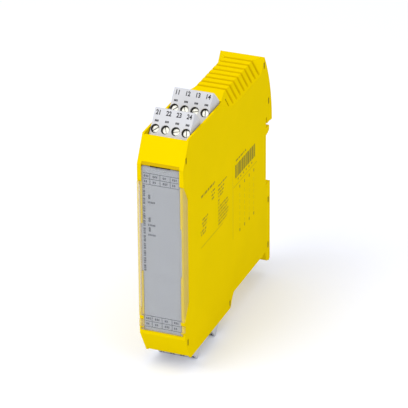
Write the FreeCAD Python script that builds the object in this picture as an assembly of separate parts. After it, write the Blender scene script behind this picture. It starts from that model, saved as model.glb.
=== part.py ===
"""Safety relay module for a 35 mm DIN rail: a 22.5 mm wide yellow housing with a
clear hinged front cover, four pull-out screw terminal plugs and a sprung rail foot.

Frame (millimetres): the origin is on the rail seat, where the rail's front face bears,
at mid-width and at the rail's centre line.  +X is to the right of the front,
-Y is the front and +Z is up.
"""
import FreeCAD, Part
import math
import os
from FreeCAD import Vector

# ---- housing, driving dimensions -------------------------------------------------
housing_height = 112.2
front_reach = 105.9        # rail seat to the yellow front face
hook_reach = 8.1           # rail seat to the rearmost point of the hook
top_above_rail = 50.5      # rail centre line to the top plane
side_wall = 1.0
plug_side_room = 0.25      # beside the row of poles, inside the side walls
shell_wall = 1.6
chamfer_depth = 7.1        # front chamfers, top and bottom
chamfer_height = 12.5
ridge_setback = 2.2        # top rear edge, in front of the rail seat
rear_edge_rise = 5.6       # bottom plane up to the rear part's underside + 1
heel_setback = 43.2        # where the underside steps down to the plug zone
heel_run = 4.7

# ---- DIN rail and its seat ---------------------------------------------------------
rail_height = 35.0
rail_lip = 1.0
rail_channel_outer = 27.0
rail_channel_inner = 25.0
rail_play = 0.2
step_play = 0.8            # extra room under the lower lip, to swing the module on
hook_tip_drop = 0.5
nose_depth = 4.3
nose_height = 4.0
slot_setback = 0.15        # the lip slot's wall stays off the seat plane
leg_reach = 5.6            # rear face of the lower leg
leg_front = 0.4
channel_bend = 6.0         # where the hollow draws back from the rail foot
notch_rise = 7.1
notch_front = 5.2
notch_apex = 1.0

# ---- ribbed top ------------------------------------------------------------------
rib_zone_front = 45.2      # distances in front of the rail seat
rib_zone_rear = 6.4
facet_front = 60.0         # where the top's side bevels start to grow
bevel_drop = 7.3
bevel_run = 4.0            # how far each bevel reaches in from the side
facet_rear = 7.3           # where the side bevels end in a facet
groove_count = 8
groove_lead = 0.35         # plain part before each groove, as a share of the pitch
groove_depth = 0.8
groove_floor = 0.7
groove_slope = 0.7
groove_stop = 0.3          # the grooves end this far inside the side planes
groove_knee = 1.0

# ---- front recess, label and clear cover -------------------------------------------
window_top_above_mid = 42.9
window_bottom_below_mid = 41.9
window_frame = 1.95        # yellow frame beside the clear cover's narrow part
cover_proud = 0.5          # clear cover in front of the yellow face
cover_thickness = 1.2
cover_gap = 0.3            # running clearance round the cover
flange_thickness = 0.8
flange_depth = 5.5         # cover flange, back along the side
flange_top_above_mid = 35.0
flange_bottom_below_mid = 34.0
flange_slant = 8.0
ear_low_below_mid = 39.6
ear_high_below_mid = 36.2
hinge_pin_radius = 0.6
hinge_pin_length = 0.9
lip_recess = 0.8           # finger bevel above the cover
lip_height = 2.2
nail_slot_width = 10.0
nail_slot_height = 0.9
label_thickness = 0.5
label_gap = 0.3
label_tab_half_height = 12.0
label_tab_reach = 0.85
front_wall = 1.2
front_corner_wall = 4.0     # thick corners behind the front chamfers
cheek_wall = 1.0            # walls behind the cover's side flanges
cheek_run = 1.5
guide_width = 0.9
guide_height = 2.2
guide_heights = (27.2, 15.6, 10.6)   # light guides, above mid-height
guide_inset = 3.4          # middle of the guides, in from the window's left edge
guide_rail_width = 2.05
guide_rail_thickness = 1.2
guide_rail_end = 2.0

# ---- terminal plugs -----------------------------------------------------------------
pole_count = 4
pole_pitch = 5.0
plug_end_gap = 0.8
plug_rise = 7.4            # ridge of the plug above the housing's top plane
plug_depth_below = 12.5    # plug bottom under the top plane
plug_front_run = 9.6       # ridge to plug front
plug_face_angle = 52.0     # slope of the face with the screws
plug_back_run = 7.0
plug_ridge_flat = 0.8
front_plug_setback = 87.3  # plug ridge, in front of the rail seat
rear_plug_setback = 64.3
plug_front_wall_drop = 0.8  # the housing's wall before the plugs, under the top plane
screw_hole_radius = 2.1
screw_head_radius = 1.7
screw_head_height = 1.6
screw_recess = 1.3
screw_shank_radius = 1.2
screw_length = 5.6
screw_end_room = 0.6
screw_slot_width = 0.55
screw_slot_depth = 0.6
screw_slot_angles = (40.0, -65.0, 15.0, -80.0)
wire_entry = 2.8
wire_mouth = 3.9
wire_mouth_run = 4.6       # ridge's rear edge to the middle of the wire mouth
wire_funnel = 0.9
cage_size = 4.4
cage_wall = 0.7
pin_width = 1.0
pin_offset = 1.0           # pin in front of the plug's ridge
contact_gap = 0.35
contact_leaf = 0.5
plug_clearance = 0.3
header_wall = 1.0
header_floor = 1.6
header_wall_top = 5.0      # header walls end this far under the top plane
pocket_fit = 0.2
pocket_floor = 1.4
pin_bend_drop = 3.2        # first pin's bend under the pocket floor
pin_bend_step = 2.2
pin_hole_gap = 0.1

# ---- rail foot -------------------------------------------------------------------
foot_half_width = 6.0
foot_front = 2.4           # foot's front face, in front of the rail seat
foot_rear = 3.6
foot_key_half_width = 4.2
foot_key_rear = 4.9
foot_gap = 0.3
foot_catch_overlap = 2.2
foot_bottom_rise = 0.6
foot_step_rise = 3.6       # rear underside up to where the foot steps back behind the leg
foot_window_half_width = 2.6
foot_window_bottom = 43.5
foot_window_height = 19.0
spring_peg_height = 2.5
eye_half_width = 3.0
eye_height = 1.8
spring_radius = 1.55
spring_wire = 0.5
spring_turns = 6
spring_play = 0.4

# ---- inside -----------------------------------------------------------------------
board_thickness = 1.6
board_wall_gap = 0.45
board_margin = 0.6
relay_size = (12.5, 29.0, 13.0)
relay_setback = 60.0
relay_heights = (4.0, -24.0)
relay_edge = 0.5
transformer_size = (11.5, 14.0, 16.0)
transformer_place = (26.0, 8.0)
transformer_core_reach = 1.5
transformer_core_inset = 4.0
capacitor_radius = 4.5
capacitor_height = 12.0
capacitor_edge = 0.6
capacitor_place = (37.0, 27.0)
logic_board_size = (1.2, 36.0, 52.0)
logic_board_setback = 101.0
chip_size = (1.4, 9.0, 9.0)
chip_setback = 89.0
chip_heights = (8.0, -17.0)
led_size = (1.4, 2.0)
led_gap = 0.2
connector_size = (2.5, 3.0, 34.0)

# ---- side cover fixing ---------------------------------------------------------------
snap_width = 1.2
snap_length = 3.5
snap_lug_height = 0.5
snap_inset = 2.4
snap_front_inset = 3.8
snap_front_top_drop = 9.1      # window's middle under the top plane
snap_front_bottom_rise = 9.7   # window's middle above the bottom plane
snap_ridge_setback = 0.5
snap_ridge_drop = 4.2
snap_hook_inset = 4.5
snap_hook_rise = 11.1
snap_leg_drop = 9.3
snap_heel_run = 0.6
snap_heel_rise = 2.9
latch_run = 4.2            # facet's latch slot, in front of the ribs
latch_rise = 1.9
latch_size = (2.25, 1.2, 3.4)

# ---- values that follow -------------------------------------------------------------
housing_width = pole_count * pole_pitch + 2 * (side_wall + plug_side_room)
half_width = housing_width / 2
inner_half = half_width - side_wall
top = top_above_rail
bottom = top - housing_height
mid = (top + bottom) / 2
front = -front_reach
rim = front + chamfer_depth              # where a chamfer meets the top plane
ridge = -ridge_setback
rear_edge = bottom + rear_edge_rise + 1.0
rail_top = rail_height / 2
hook_floor = rail_channel_outer / 2 + rail_play + hook_tip_drop
nose_top = rail_channel_inner / 2 - rail_play
step_height = -rail_top - step_play
seat_low = -rail_top + foot_catch_overlap + 0.4
bevel_line = top - bevel_drop
bevel_flat_half = half_width - bevel_run
window_half_width = half_width - window_frame
nose_half_width = half_width - flange_thickness - cover_gap
guide_x = guide_inset - window_half_width
plug_width = pole_count * pole_pitch - plug_end_gap
window_top = mid + window_top_above_mid
window_bottom = mid - window_bottom_below_mid
cover_front = front - cover_proud
cover_back = cover_front + cover_thickness
label_front = cover_back + label_gap
label_back = label_front + label_thickness
front_wall_back = label_back + front_wall
flange_top = mid + flange_top_above_mid
flange_bottom = mid - flange_bottom_below_mid
flange_back = cover_front + flange_depth
plug_pocket_depth = plug_depth_below + plug_clearance + header_floor
plug_setbacks = {"front": front_plug_setback, "rear": rear_plug_setback}
pocket_front = -front_plug_setback - plug_front_run - plug_clearance - header_wall - pocket_fit
pocket_rear = -rear_plug_setback + plug_back_run + plug_clearance + header_wall + pocket_fit
board_left = -inner_half + board_wall_gap
board_face = board_left + board_thickness
board_front = flange_back + cover_gap + cheek_run + board_margin
led_front = board_front + led_gap
first_pin_bend = top - plug_pocket_depth - pocket_floor - pin_bend_drop
hinge_y = cover_front + cover_thickness / 2
hinge_z = window_bottom + cover_gap + cover_thickness / 2


# ---- helpers ------------------------------------------------------------------------
def block(x, y, z):
    """box from three (low, high) pairs"""
    size = (x[1] - x[0], y[1] - y[0], z[1] - z[0])
    return Part.makeBox(*size, Vector(x[0], y[0], z[0]))


def side_face(start, *steps):
    """closed face in the plane x = 0; a step is a (y, z) point or (middle, end) of an arc"""
    def place(point):
        return Vector(0, point[0], point[1])
    edges = []
    here = start
    for step in steps + (start,):
        if isinstance(step[0], tuple):
            edges.append(Part.Arc(place(here), place(step[0]), place(step[1])).toShape())
            here = step[1]
        else:
            edges.append(Part.makeLine(place(here), place(step)))
            here = step
    return Part.Face(Part.Wire(edges))


def prism(x, start, *steps):
    """side profile drawn in y and z, swept between two x values"""
    face = side_face(start, *steps)
    face.translate(Vector(x[0], 0, 0))
    return face.extrude(Vector(x[1] - x[0], 0, 0))


def rod(start, direction, radius, length):
    return Part.makeCylinder(radius, length, Vector(*start), Vector(*direction))


def flipped(shape):
    """mirror image about mid-height: the bottom plugs are the top ones turned over"""
    return shape.mirror(Vector(0, 0, mid), Vector(0, 0, 1))


def fused(shapes):
    first = shapes[0]
    if len(shapes) == 1:
        return first
    return first.multiFuse(shapes[1:]).removeSplitter()


def write(name, *shapes):
    whole = shapes[0] if len(shapes) == 1 else Part.makeCompound(list(shapes))
    whole.exportStep(os.path.join("parts", name + ".step"))


def pole_places():
    return [(k - (pole_count - 1) / 2) * pole_pitch for k in range(pole_count)]


# ---- housing ------------------------------------------------------------------------
def outline(x):
    """the housing's full side profile between two x values"""
    rail_seat_lip = rail_lip + 0.3
    hook_mid = ((hook_reach + ridge) / 2 + 2.2, (top + hook_floor) / 2 + 1.2)
    heel = -heel_setback
    leg_round = 1.0
    return prism(
        x,
        (front, top - chamfer_height),
        (rim, top),
        (ridge, top),
        (hook_mid, (hook_reach, hook_floor + 0.6)),
        ((hook_reach - 0.1, hook_floor - 0.2), (hook_reach - 0.7, hook_floor - hook_tip_drop)),
        (hook_reach - 3.3, hook_floor),
        (rail_seat_lip, hook_floor),
        (rail_seat_lip, rail_top + rail_play),
        (-slot_setback, rail_top + rail_play),
        (-slot_setback, nose_top),
        (nose_depth - 0.3, nose_top),
        (nose_depth, nose_top - 0.3),
        (nose_depth, nose_top - nose_height * 0.625),
        (nose_depth * 0.6, nose_top - nose_height * 0.875),
        (0, nose_top - nose_height),
        (0, seat_low),
        (-slot_setback, seat_low),
        (-slot_setback, step_height),
        (leg_reach, step_height),
        (leg_reach, bottom + leg_round),
        (leg_reach - leg_round, bottom),
        (leg_front + 1.0, bottom + 1.2),
        (leg_front, bottom + 2.6),
        (-notch_apex, bottom + notch_rise),
        (-notch_front, rear_edge - 0.6),
        (-notch_front - 1.2, rear_edge),
        (heel, rear_edge),
        ((heel - 0.6 * heel_run, bottom + 0.6 * rear_edge_rise),
         (heel - 0.8 * heel_run, bottom + 0.25 * rear_edge_rise)),
        (heel - heel_run, bottom),
        (rim, bottom),
        (front, bottom + chamfer_height))


def bevel_cutter():
    """takes off one side's bevel over the ribbed top, with the facets at both of its ends"""
    over = 3.0
    reach = over * bevel_run / bevel_drop
    faint = 0.02

    def section(y, share):
        flat = half_width - bevel_run * share
        low = top - bevel_drop * share
        return Part.makePolygon([
            Vector(half_width + reach * share + 0.01, y, low - over * share - 0.01),
            Vector(flat - reach * share, y, top + over * share + 0.01),
            Vector(half_width + over * 2, y, top + over * share + 0.01),
            Vector(half_width + over * 2, y, low - over * share - 0.01),
            Vector(half_width + reach * share + 0.01, y, low - over * share - 0.01)])
    stations = [section(-facet_front, faint), section(-rib_zone_front, 1.0),
                section(-facet_rear, 1.0), section(ridge, faint)]
    parts = [Part.makeLoft(list(pair), True, True) for pair in zip(stations, stations[1:])]
    return parts[0].fuse(parts[1:])


def groove_cutters():
    """the grooves across the top, each following the flat and both bevels"""
    steep = bevel_drop / bevel_run
    bevel_length = math.hypot(bevel_run, bevel_drop)
    outward = (bevel_drop / bevel_length, bevel_run / bevel_length)

    def section(y, depth):
        stop = (half_width - groove_stop, bevel_line + groove_stop * steep + 0.01)
        knee = (half_width - groove_knee - depth * outward[0],
                bevel_line + groove_knee * steep - depth * outward[1])
        flat = (bevel_flat_half - depth * (1 - outward[1]) / outward[0], top - depth)
        right = [flat, knee, stop, (half_width + 2.0, stop[1]), (half_width + 2.0, top + 2.0)]
        left = [(-x, z) for x, z in reversed(right)]
        return Part.makePolygon([Vector(x, y, z) for x, z in right + left + [flat]])
    pitch = (rib_zone_front - rib_zone_rear) / groove_count
    cutters = []
    for k in range(groove_count):
        start = -rib_zone_front + (k + groove_lead) * pitch
        middle = start + groove_slope
        after = middle + groove_floor
        end = after + groove_slope
        sections = [section(start, -0.01), section(middle, groove_depth),
                    section(after, groove_depth), section(end, -0.01)]
        cutters.append(Part.makeLoft(sections, True, True))
    return cutters


def cover_plate_region():
    """everything right of the seam and below the bevels: the clipped-on side cover"""
    plate = outline((inner_half, half_width))
    above = prism((inner_half - 1, half_width + 1), (-facet_front, top + 1),
                  (-facet_front, top), (-rib_zone_front, bevel_line),
                  (-facet_rear, bevel_line), (ridge, top), (ridge, top + 1))
    return plate.cut(above)


def snap_places():
    """centres (y, z) of the side cover's seven snap windows"""
    return [(front + snap_front_inset, top - snap_front_top_drop),
            (ridge - snap_ridge_setback, top - snap_ridge_drop),
            (hook_reach - snap_hook_inset, hook_floor + snap_hook_rise),
            (leg_reach - snap_inset, step_height - snap_leg_drop),
            (leg_reach - snap_inset, bottom + snap_leg_drop),
            (-heel_setback - heel_run - snap_heel_run, bottom + snap_heel_rise),
            (front + snap_front_inset, bottom + snap_front_bottom_rise)]


def snap_window(place):
    y, z = place
    return block((inner_half - 0.2, half_width + 0.5),
                 (y - snap_width / 2, y + snap_width / 2),
                 (z - snap_length / 2, z + snap_length / 2))


def snap_lug(place):
    """ramped lug of the housing that catches in a window of the side cover"""
    y, z = place
    play = 0.15
    low = z - snap_length / 2 + play
    high = z + snap_length / 2 - play
    ramp = Part.makePolygon([Vector(inner_half, y - snap_width / 2 + play, low),
                             Vector(inner_half, y - snap_width / 2 + play, high),
                             Vector(inner_half + snap_lug_height, y - snap_width / 2 + play, high - 1.2),
                             Vector(inner_half + snap_lug_height, y - snap_width / 2 + play, low + 0.3),
                             Vector(inner_half, y - snap_width / 2 + play, low)])
    return Part.Face(ramp).extrude(Vector(0, snap_width - 2 * play, 0))


def flange_profile(x, grow=0.0):
    """the clear cover's side flange; grow gives the rebate that it drops into"""
    back = flange_back + grow
    return prism(x,
                 (cover_front - 3 * grow, flange_bottom - grow),
                 (cover_front + 0.6, flange_bottom - grow),
                 (back, flange_bottom + flange_slant - grow),
                 (back, flange_top - flange_slant + grow),
                 (cover_front + 0.6, flange_top + grow),
                 (cover_front - 3 * grow, flange_top + grow))


def front_recess():
    """what the front of the housing gives up to the label and the clear cover"""
    gap = cover_gap
    shape = block((-window_half_width, window_half_width), (front - 2, label_back),
                  (window_bottom, window_top + gap))
    shape = shape.fuse(block((-nose_half_width, nose_half_width), (front - 2, label_back),
                             (flange_bottom - gap, flange_top + gap)))
    ears = (mid - ear_low_below_mid - gap, mid - ear_high_below_mid + gap)
    shape = shape.fuse(block((-half_width - 1, half_width + 1), (front - 2, cover_back + gap), ears))
    for side in (-1, 1):
        x = sorted((side * nose_half_width, side * (half_width + 1)))
        shape = shape.fuse(flange_profile(x, gap))
    for side in (-1, 1):
        reach = sorted((side * (window_half_width - 1), side * (window_half_width + hinge_pin_length + gap)))
        shape = shape.fuse(rod((reach[0], hinge_y, hinge_z), (1, 0, 0),
                               hinge_pin_radius + gap / 2, reach[1] - reach[0]))
    lip = prism((-window_half_width, window_half_width),
                (front - 1, window_top + lip_height),
                (front, window_top + lip_height),
                (front + lip_recess, window_top),
                (front - 1, window_top))
    nail = block((-nail_slot_width / 2, nail_slot_width / 2), (front - 1, label_back - 0.4),
                 (window_top, window_top + nail_slot_height))
    return shape.fuse(lip).fuse(nail)


def cavity():
    """the hollow inside, one shell wall in from the outline, clear of both plug pockets"""
    wall = shell_wall
    floor_top = top - plug_pocket_depth - pocket_floor
    floor_bottom = bottom + plug_pocket_depth + pocket_floor
    rear = -wall - 1.0
    foot_wall = -foot_front - foot_gap - wall
    x = (-inner_half, inner_half + 0.001)
    main = prism(x,
                 (front_wall_back, bottom + chamfer_height + front_corner_wall),
                 (front_wall_back, top - chamfer_height - front_corner_wall),
                 (pocket_front - wall, floor_top),
                 (pocket_rear + wall, floor_top),
                 (pocket_rear + wall, bevel_line),
                 (-facet_rear - wall, bevel_line),
                 (rear, nose_top + nose_height),
                 (rear, step_height + channel_bend),
                 (foot_wall, step_height + 1.0),
                 (foot_wall, rear_edge + wall + 2.0),
                 (foot_wall - 2.0, rear_edge + wall),
                 (-heel_setback + wall, rear_edge + wall),
                 (-heel_setback + wall, floor_bottom),
                 (pocket_front - wall, floor_bottom))
    attic = block((-bevel_flat_half + 0.6, bevel_flat_half - 0.6),
                  (-rib_zone_front + 1.0, -facet_rear - wall),
                  (bevel_line - 1, top - groove_depth - wall))
    return main.fuse(attic)


def nose_cheeks():
    """walls that close the hollow behind the cover's side flanges"""
    rebate_back = flange_back + cover_gap
    z = (flange_bottom - cheek_run, flange_top + cheek_run)
    inner = nose_half_width - cheek_wall
    cheeks = []
    for side in (-1, 1):
        thin = sorted((side * inner, side * nose_half_width))
        joined = sorted((side * inner, side * inner_half))
        cheeks.append(block(thin, (label_back, rebate_back + cheek_run), z))
        cheeks.append(block(joined, (rebate_back, rebate_back + cheek_run), z))
    return cheeks


def plug_pocket():
    """top pocket for both plugs, with the cross wall that parts them left standing"""
    whole = block((-inner_half, inner_half + 0.001), (pocket_front, pocket_rear),
                  (top - plug_pocket_depth, top + 1))
    behind_front = -front_plug_setback + plug_back_run + plug_clearance + header_wall + pocket_fit
    before_rear = -rear_plug_setback - plug_front_run - plug_clearance - header_wall - pocket_fit
    cross_wall = block((-inner_half, inner_half), (behind_front, before_rear),
                       (top - plug_pocket_depth, top - 3.0))
    lowered = block((-inner_half, inner_half), (rim - shell_wall, pocket_front + 0.1),
                    (top - plug_front_wall_drop, top + 1))
    shape = whole.cut(cross_wall).fuse(lowered)
    for setback in plug_setbacks.values():
        pin_y = -setback - pin_offset
        shape = shape.fuse(block((-plug_width / 2 + 1, plug_width / 2 - 1),
                                 (pin_y - pin_width, pin_y + pin_width),
                                 (top - plug_pocket_depth - pocket_floor - 1, top - plug_pocket_depth + 1)))
    return shape


def foot_channel():
    """guide of the rail foot, open to the recess above, to the rear and below"""
    gap = foot_gap
    tall = (bottom - 2, step_height)
    wide = block((-foot_half_width - gap, foot_half_width + gap),
                 (-foot_front - gap, foot_rear + gap), tall)
    key = block((-foot_key_half_width - gap, foot_key_half_width + gap),
                (0, leg_reach + 1), tall)
    return wide.fuse(key)


def spring_peg():
    """fixed peg inside the foot's window that the spring pushes against"""
    low = -foot_window_bottom - spring_peg_height
    return block((-foot_window_half_width + foot_gap, foot_window_half_width - foot_gap),
                 (-foot_front - foot_gap - 0.5, foot_rear - 1.2), (low, -foot_window_bottom))


def make_housing_and_cover():
    whole = outline((-half_width, half_width))
    right_bevel = bevel_cutter()
    left_bevel = right_bevel.mirror(Vector(0, 0, 0), Vector(1, 0, 0))
    recess = front_recess()
    whole = whole.cut([right_bevel, left_bevel] + groove_cutters()).cut(recess)
    channel = foot_channel()
    region = cover_plate_region()
    cover = whole.common(region).cut([snap_window(p) for p in snap_places()])
    pocket = plug_pocket()
    tub = whole.cut(region).cut([cavity(), pocket, flipped(pocket), channel])
    latch_y = -rib_zone_front - latch_run
    latch_z = bevel_line + latch_rise
    facet_latch = block((half_width - latch_size[0], half_width), (latch_y, latch_y + latch_size[1]),
                        (latch_z, latch_z + latch_size[2]))
    tub = tub.cut([facet_latch] + light_guide_holes())
    tub = tub.fuse([spring_peg()] + nose_cheeks() + [snap_lug(p) for p in snap_places()]).removeSplitter()
    return tub, cover


# ---- front ------------------------------------------------------------------------
def guide_block(height, y, grow=0.0):
    half = guide_height / 2 + grow
    return block((guide_x - guide_width / 2 - grow, guide_x + guide_width / 2 + grow), y,
                 (mid + height - half, mid + height + half))


def light_guide_holes():
    return [guide_block(h, (label_front - 1, front_wall_back + 1), 0.1) for h in guide_heights]


def make_light_guides():
    rail = block((guide_x + guide_width / 2 - guide_rail_width, guide_x + guide_width / 2),
                 (front_wall_back, front_wall_back + guide_rail_thickness),
                 (mid + min(guide_heights) - guide_rail_end, mid + max(guide_heights) + guide_rail_end))
    rods = [guide_block(h, (label_front, led_front - led_gap)) for h in guide_heights]
    return fused([rail] + rods)


def make_label():
    play = 0.25
    plate = block((-window_half_width + play, window_half_width - play), (label_front, label_back),
                  (window_bottom + play, window_top - play))
    tab = window_half_width + label_tab_reach - play
    wings = block((-tab, tab), (label_front, label_back),
                  (mid + 1.0 - label_tab_half_height, mid + 1.0 + label_tab_half_height))
    return fused([plate, wings]).cut([guide_block(h, (label_front - 1, label_back + 1), 0.1)
                                      for h in guide_heights])


def make_front_cover():
    gap = cover_gap
    narrow = window_half_width - gap
    inner_flange = half_width - flange_thickness
    low = window_bottom + gap + cover_thickness / 2
    plate = block((-narrow, narrow), (cover_front, cover_back), (low, window_top - gap))
    root = rod((-narrow, hinge_y, hinge_z), (1, 0, 0), cover_thickness / 2, 2 * narrow)
    wide = flange_profile((-half_width, half_width)).common(
        block((-half_width, half_width), (cover_front, cover_back), (flange_bottom, flange_top)))
    ears = block((-half_width, half_width), (cover_front, cover_back),
                 (mid - ear_low_below_mid, mid - ear_high_below_mid))
    pieces = [plate, root, wide, ears]
    for side in (-1, 1):
        pieces.append(flange_profile(sorted((side * inner_flange, side * half_width))))
        start = side * (narrow - 1) if side > 0 else side * (window_half_width + hinge_pin_length)
        end = window_half_width + hinge_pin_length if side > 0 else -narrow + 1
        pieces.append(rod((start, hinge_y, hinge_z), (1, 0, 0), hinge_pin_radius, end - start))
    grip = block((-nail_slot_width / 2 + 0.5, nail_slot_width / 2 - 0.5),
                 (cover_front - 0.3, cover_back), (window_top - gap - 0.8, window_top - gap))
    return fused(pieces + [grip])


# ---- terminal plugs, drawn for a ridge at y = -setback on the top plane -----------------
def plug_frame(setback):
    """points and directions shared by a plug's body, screws and clamps"""
    y = -setback
    slope = math.radians(plug_face_angle)
    diagonal = math.sqrt(0.5)
    screw_in = Vector(0, math.sin(slope), -math.cos(slope))
    wire_in = Vector(0, -diagonal, -diagonal)
    screw_mouth = Vector(0, y - plug_rise / math.tan(slope), top)
    wire_at = Vector(0, y + plug_ridge_flat + wire_mouth_run, top + plug_rise - wire_mouth_run)
    between = wire_at - screw_mouth
    turn = screw_in.y * wire_in.z - screw_in.z * wire_in.y
    depth = (between.y * wire_in.z - between.z * wire_in.y) / turn
    meet = screw_mouth + screw_in * depth
    return screw_in, wire_in, screw_mouth, wire_at, meet


def turned_block(center, x_half, along, long_half, wide_half):
    """box centred on a point with its long axis along a direction in the y-z plane"""
    box = Part.makeBox(2 * x_half, 2 * wide_half, 2 * long_half,
                       Vector(-x_half, -wide_half, -long_half))
    box.rotate(Vector(0, 0, 0), Vector(1, 0, 0), -math.degrees(math.atan2(along.y, along.z)))
    box.translate(center)
    return box


def make_plug_body(setback):
    y = -setback
    screw_in, wire_in, screw_mouth, wire_at, meet = plug_frame(setback)
    crest = top + plug_rise
    low = top - plug_depth_below
    front_low = crest - plug_front_run * math.tan(math.radians(plug_face_angle))
    back_low = crest - (plug_back_run - plug_ridge_flat)
    body = prism((-plug_width / 2, plug_width / 2),
                 (y, crest), (y + plug_ridge_flat, crest), (y + plug_back_run, back_low),
                 (y + plug_back_run, low), (y - plug_front_run, low),
                 (y - plug_front_run, front_low))
    cuts = []
    for x in pole_places():
        shift = Vector(x, 0, 0)
        cuts.append(rod(screw_mouth + shift - screw_in, screw_in, screw_hole_radius,
                        1.0 + screw_recess + screw_head_height + screw_end_room))
        passage = screw_shank_radius + screw_end_room / 2
        way = (screw_recess + screw_length + screw_end_room) / 2
        cuts.append(turned_block(screw_mouth + shift + screw_in * way, passage, screw_in, way, passage))
        half = cage_size / 2
        cuts.append(turned_block(meet + shift, half, wire_in, half, half))
        reach = (meet - wire_at).Length
        cuts.append(turned_block(meet + shift - wire_in * (reach / 2 + 0.5), wire_entry / 2,
                                 wire_in, reach / 2 + 0.5, wire_entry / 2))
        cuts.append(turned_block(wire_at + shift, wire_mouth / 2, wire_in, wire_funnel, wire_mouth / 2))
        pin_y = y - pin_offset
        room = pin_width / 2 + contact_gap + contact_leaf
        cuts.append(block((x - room, x + room), (pin_y - room, pin_y + room),
                          (low - 1, meet.z)))
    return body.cut(cuts)


def make_screws(setback):
    screw_in, _, screw_mouth, _, _ = plug_frame(setback)
    screws = []
    for x, angle in zip(pole_places(), screw_slot_angles):
        start = screw_mouth + Vector(x, 0, 0) + screw_in * screw_recess
        head = rod(start, screw_in, screw_head_radius, screw_head_height)
        shank = rod(start, screw_in, screw_shank_radius, screw_length)
        long_half = screw_head_radius * 1.3
        slot = Part.makeBox(2 * long_half, screw_slot_width, 2 * screw_slot_depth,
                            Vector(-long_half, -screw_slot_width / 2, -screw_slot_depth))
        slot.rotate(Vector(0, 0, 0), Vector(0, 0, 1), angle)
        slot.rotate(Vector(0, 0, 0), Vector(1, 0, 0), plug_face_angle)
        slot.translate(start)
        screws.append(head.fuse(shank).removeSplitter().cut(slot))
    return screws


def leaf_heights(setback):
    """bottom and top of the bridge that joins a cage clamp to its two leaves"""
    middle = plug_frame(setback)[4].z
    return middle - cage_size * 0.75, middle - cage_size * 0.45


def make_clamps(setback):
    """cage clamp of each pole, with the two leaves that grip the header's pin"""
    screw_in, wire_in, _, _, meet = plug_frame(setback)
    clamps = []
    low = top - plug_depth_below
    bridge = leaf_heights(setback)
    half = cage_size / 2 - 0.05
    for x in pole_places():
        shift = Vector(x, 0, 0)
        cage = turned_block(meet + shift, half, wire_in, half, half)
        bore = turned_block(meet + shift, half - cage_wall, wire_in, half + 1, half - cage_wall)
        passage = screw_shank_radius + 0.2
        screw_way = turned_block(meet + shift - screw_in * half, passage, screw_in, half, passage)
        pin_y = -setback - pin_offset
        inner = pin_width / 2 + contact_gap
        leaves = [block((x - inner - contact_leaf, x + inner + contact_leaf),
                        (pin_y - pin_width / 2, pin_y + pin_width / 2), bridge)]
        for side in (-1, 1):
            xs = sorted((x + side * inner, x + side * (inner + contact_leaf)))
            leaves.append(block(xs, (pin_y - pin_width / 2, pin_y + pin_width / 2),
                                (low + 0.6, bridge[0])))
        solid = cage.fuse(leaves)
        clamps.append(solid.cut([bore, screw_way]).removeSplitter())
    return clamps


def make_header(setback):
    """socket strip on the board that the plug pushes into"""
    y = -setback
    floor_top = top - plug_depth_below - plug_clearance
    outer = (y - plug_front_run - plug_clearance - header_wall,
             y + plug_back_run + plug_clearance + header_wall)
    floor = block((-plug_width / 2, plug_width / 2), outer, (floor_top - header_floor, floor_top))
    walls = [block((-plug_width / 2, plug_width / 2), (outer[0], outer[0] + header_wall),
                   (floor_top, top - header_wall_top)),
             block((-plug_width / 2, plug_width / 2), (outer[1] - header_wall, outer[1]),
                   (floor_top, top - header_wall_top))]
    pin_y = y - pin_offset
    holes = [block((x - pin_width / 2, x + pin_width / 2), (pin_y - pin_width / 2, pin_y + pin_width / 2),
                   (floor_top - header_floor - 1, floor_top + 1)) for x in pole_places()]
    return fused([floor] + walls).cut(holes)


def make_header_pins(setback):
    """square pins through the header's floor, bent into the main board"""
    pin_y = -setback - pin_offset
    half = pin_width / 2
    tip = leaf_heights(setback)[0] - contact_gap
    pins = []
    for k, x in enumerate(pole_places()):
        bend = first_pin_bend - k * pin_bend_step
        y_range = (pin_y - half, pin_y + half)
        post = block((x - half, x + half), y_range, (bend, tip))
        tail = block((board_left - 0.4, x + half), y_range, (bend, bend + pin_width))
        pins.append(post.fuse(tail).removeSplitter())
    return pins


# ---- rail foot ------------------------------------------------------------------------
def make_foot():
    low = bottom + foot_bottom_rise
    high = step_height - foot_gap
    catch_low = rail_lip + 0.25
    catch_top = -rail_top + foot_catch_overlap
    bar = block((-foot_half_width, foot_half_width), (-foot_front, foot_rear), (low, high))
    key = block((-foot_key_half_width, foot_key_half_width), (foot_rear - 0.1, foot_key_rear),
                (low + 2.0, high - 2.0))
    catch = prism((-foot_half_width, foot_half_width),
                  (catch_low, high - 1),
                  (catch_low, catch_top - 0.6),
                  (catch_low + 0.5, catch_top),
                  (foot_rear, catch_top - 2.4),
                  (foot_rear, high - 1))
    eye = block((-eye_half_width, eye_half_width), (-foot_front - 1, foot_key_rear + 1),
                (low + 1.6, low + 1.6 + eye_height))
    hidden = block((-foot_half_width - 1, foot_half_width + 1), (-foot_front - 1, leg_front + foot_gap),
                   (low - 1, rear_edge + foot_step_rise))
    window = block((-foot_window_half_width, foot_window_half_width),
                   (-foot_front - 1, foot_rear - 0.8),
                   (-foot_window_bottom - spring_peg_height - foot_gap,
                    -foot_window_bottom + foot_window_height))
    return fused([bar, key, catch]).cut([eye, window, hidden])


def make_foot_spring():
    """square wire compression spring between the peg and the top of the foot's window"""
    length = foot_window_height - spring_play - spring_wire
    helix = Part.makeHelix(length / spring_turns, length, spring_radius)
    half = spring_wire / 2
    corners = [(-half, -half), (half, -half), (half, half), (-half, half), (-half, -half)]
    section = Part.makePolygon([Vector(spring_radius + x, 0, z) for x, z in corners])
    coil = Part.Wire(helix).makePipeShell([section], True, True)
    coil.translate(Vector(0, (foot_rear - foot_front) / 2 - foot_gap * 2,
                          -foot_window_bottom + (spring_play + spring_wire) / 2))
    return coil


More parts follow.
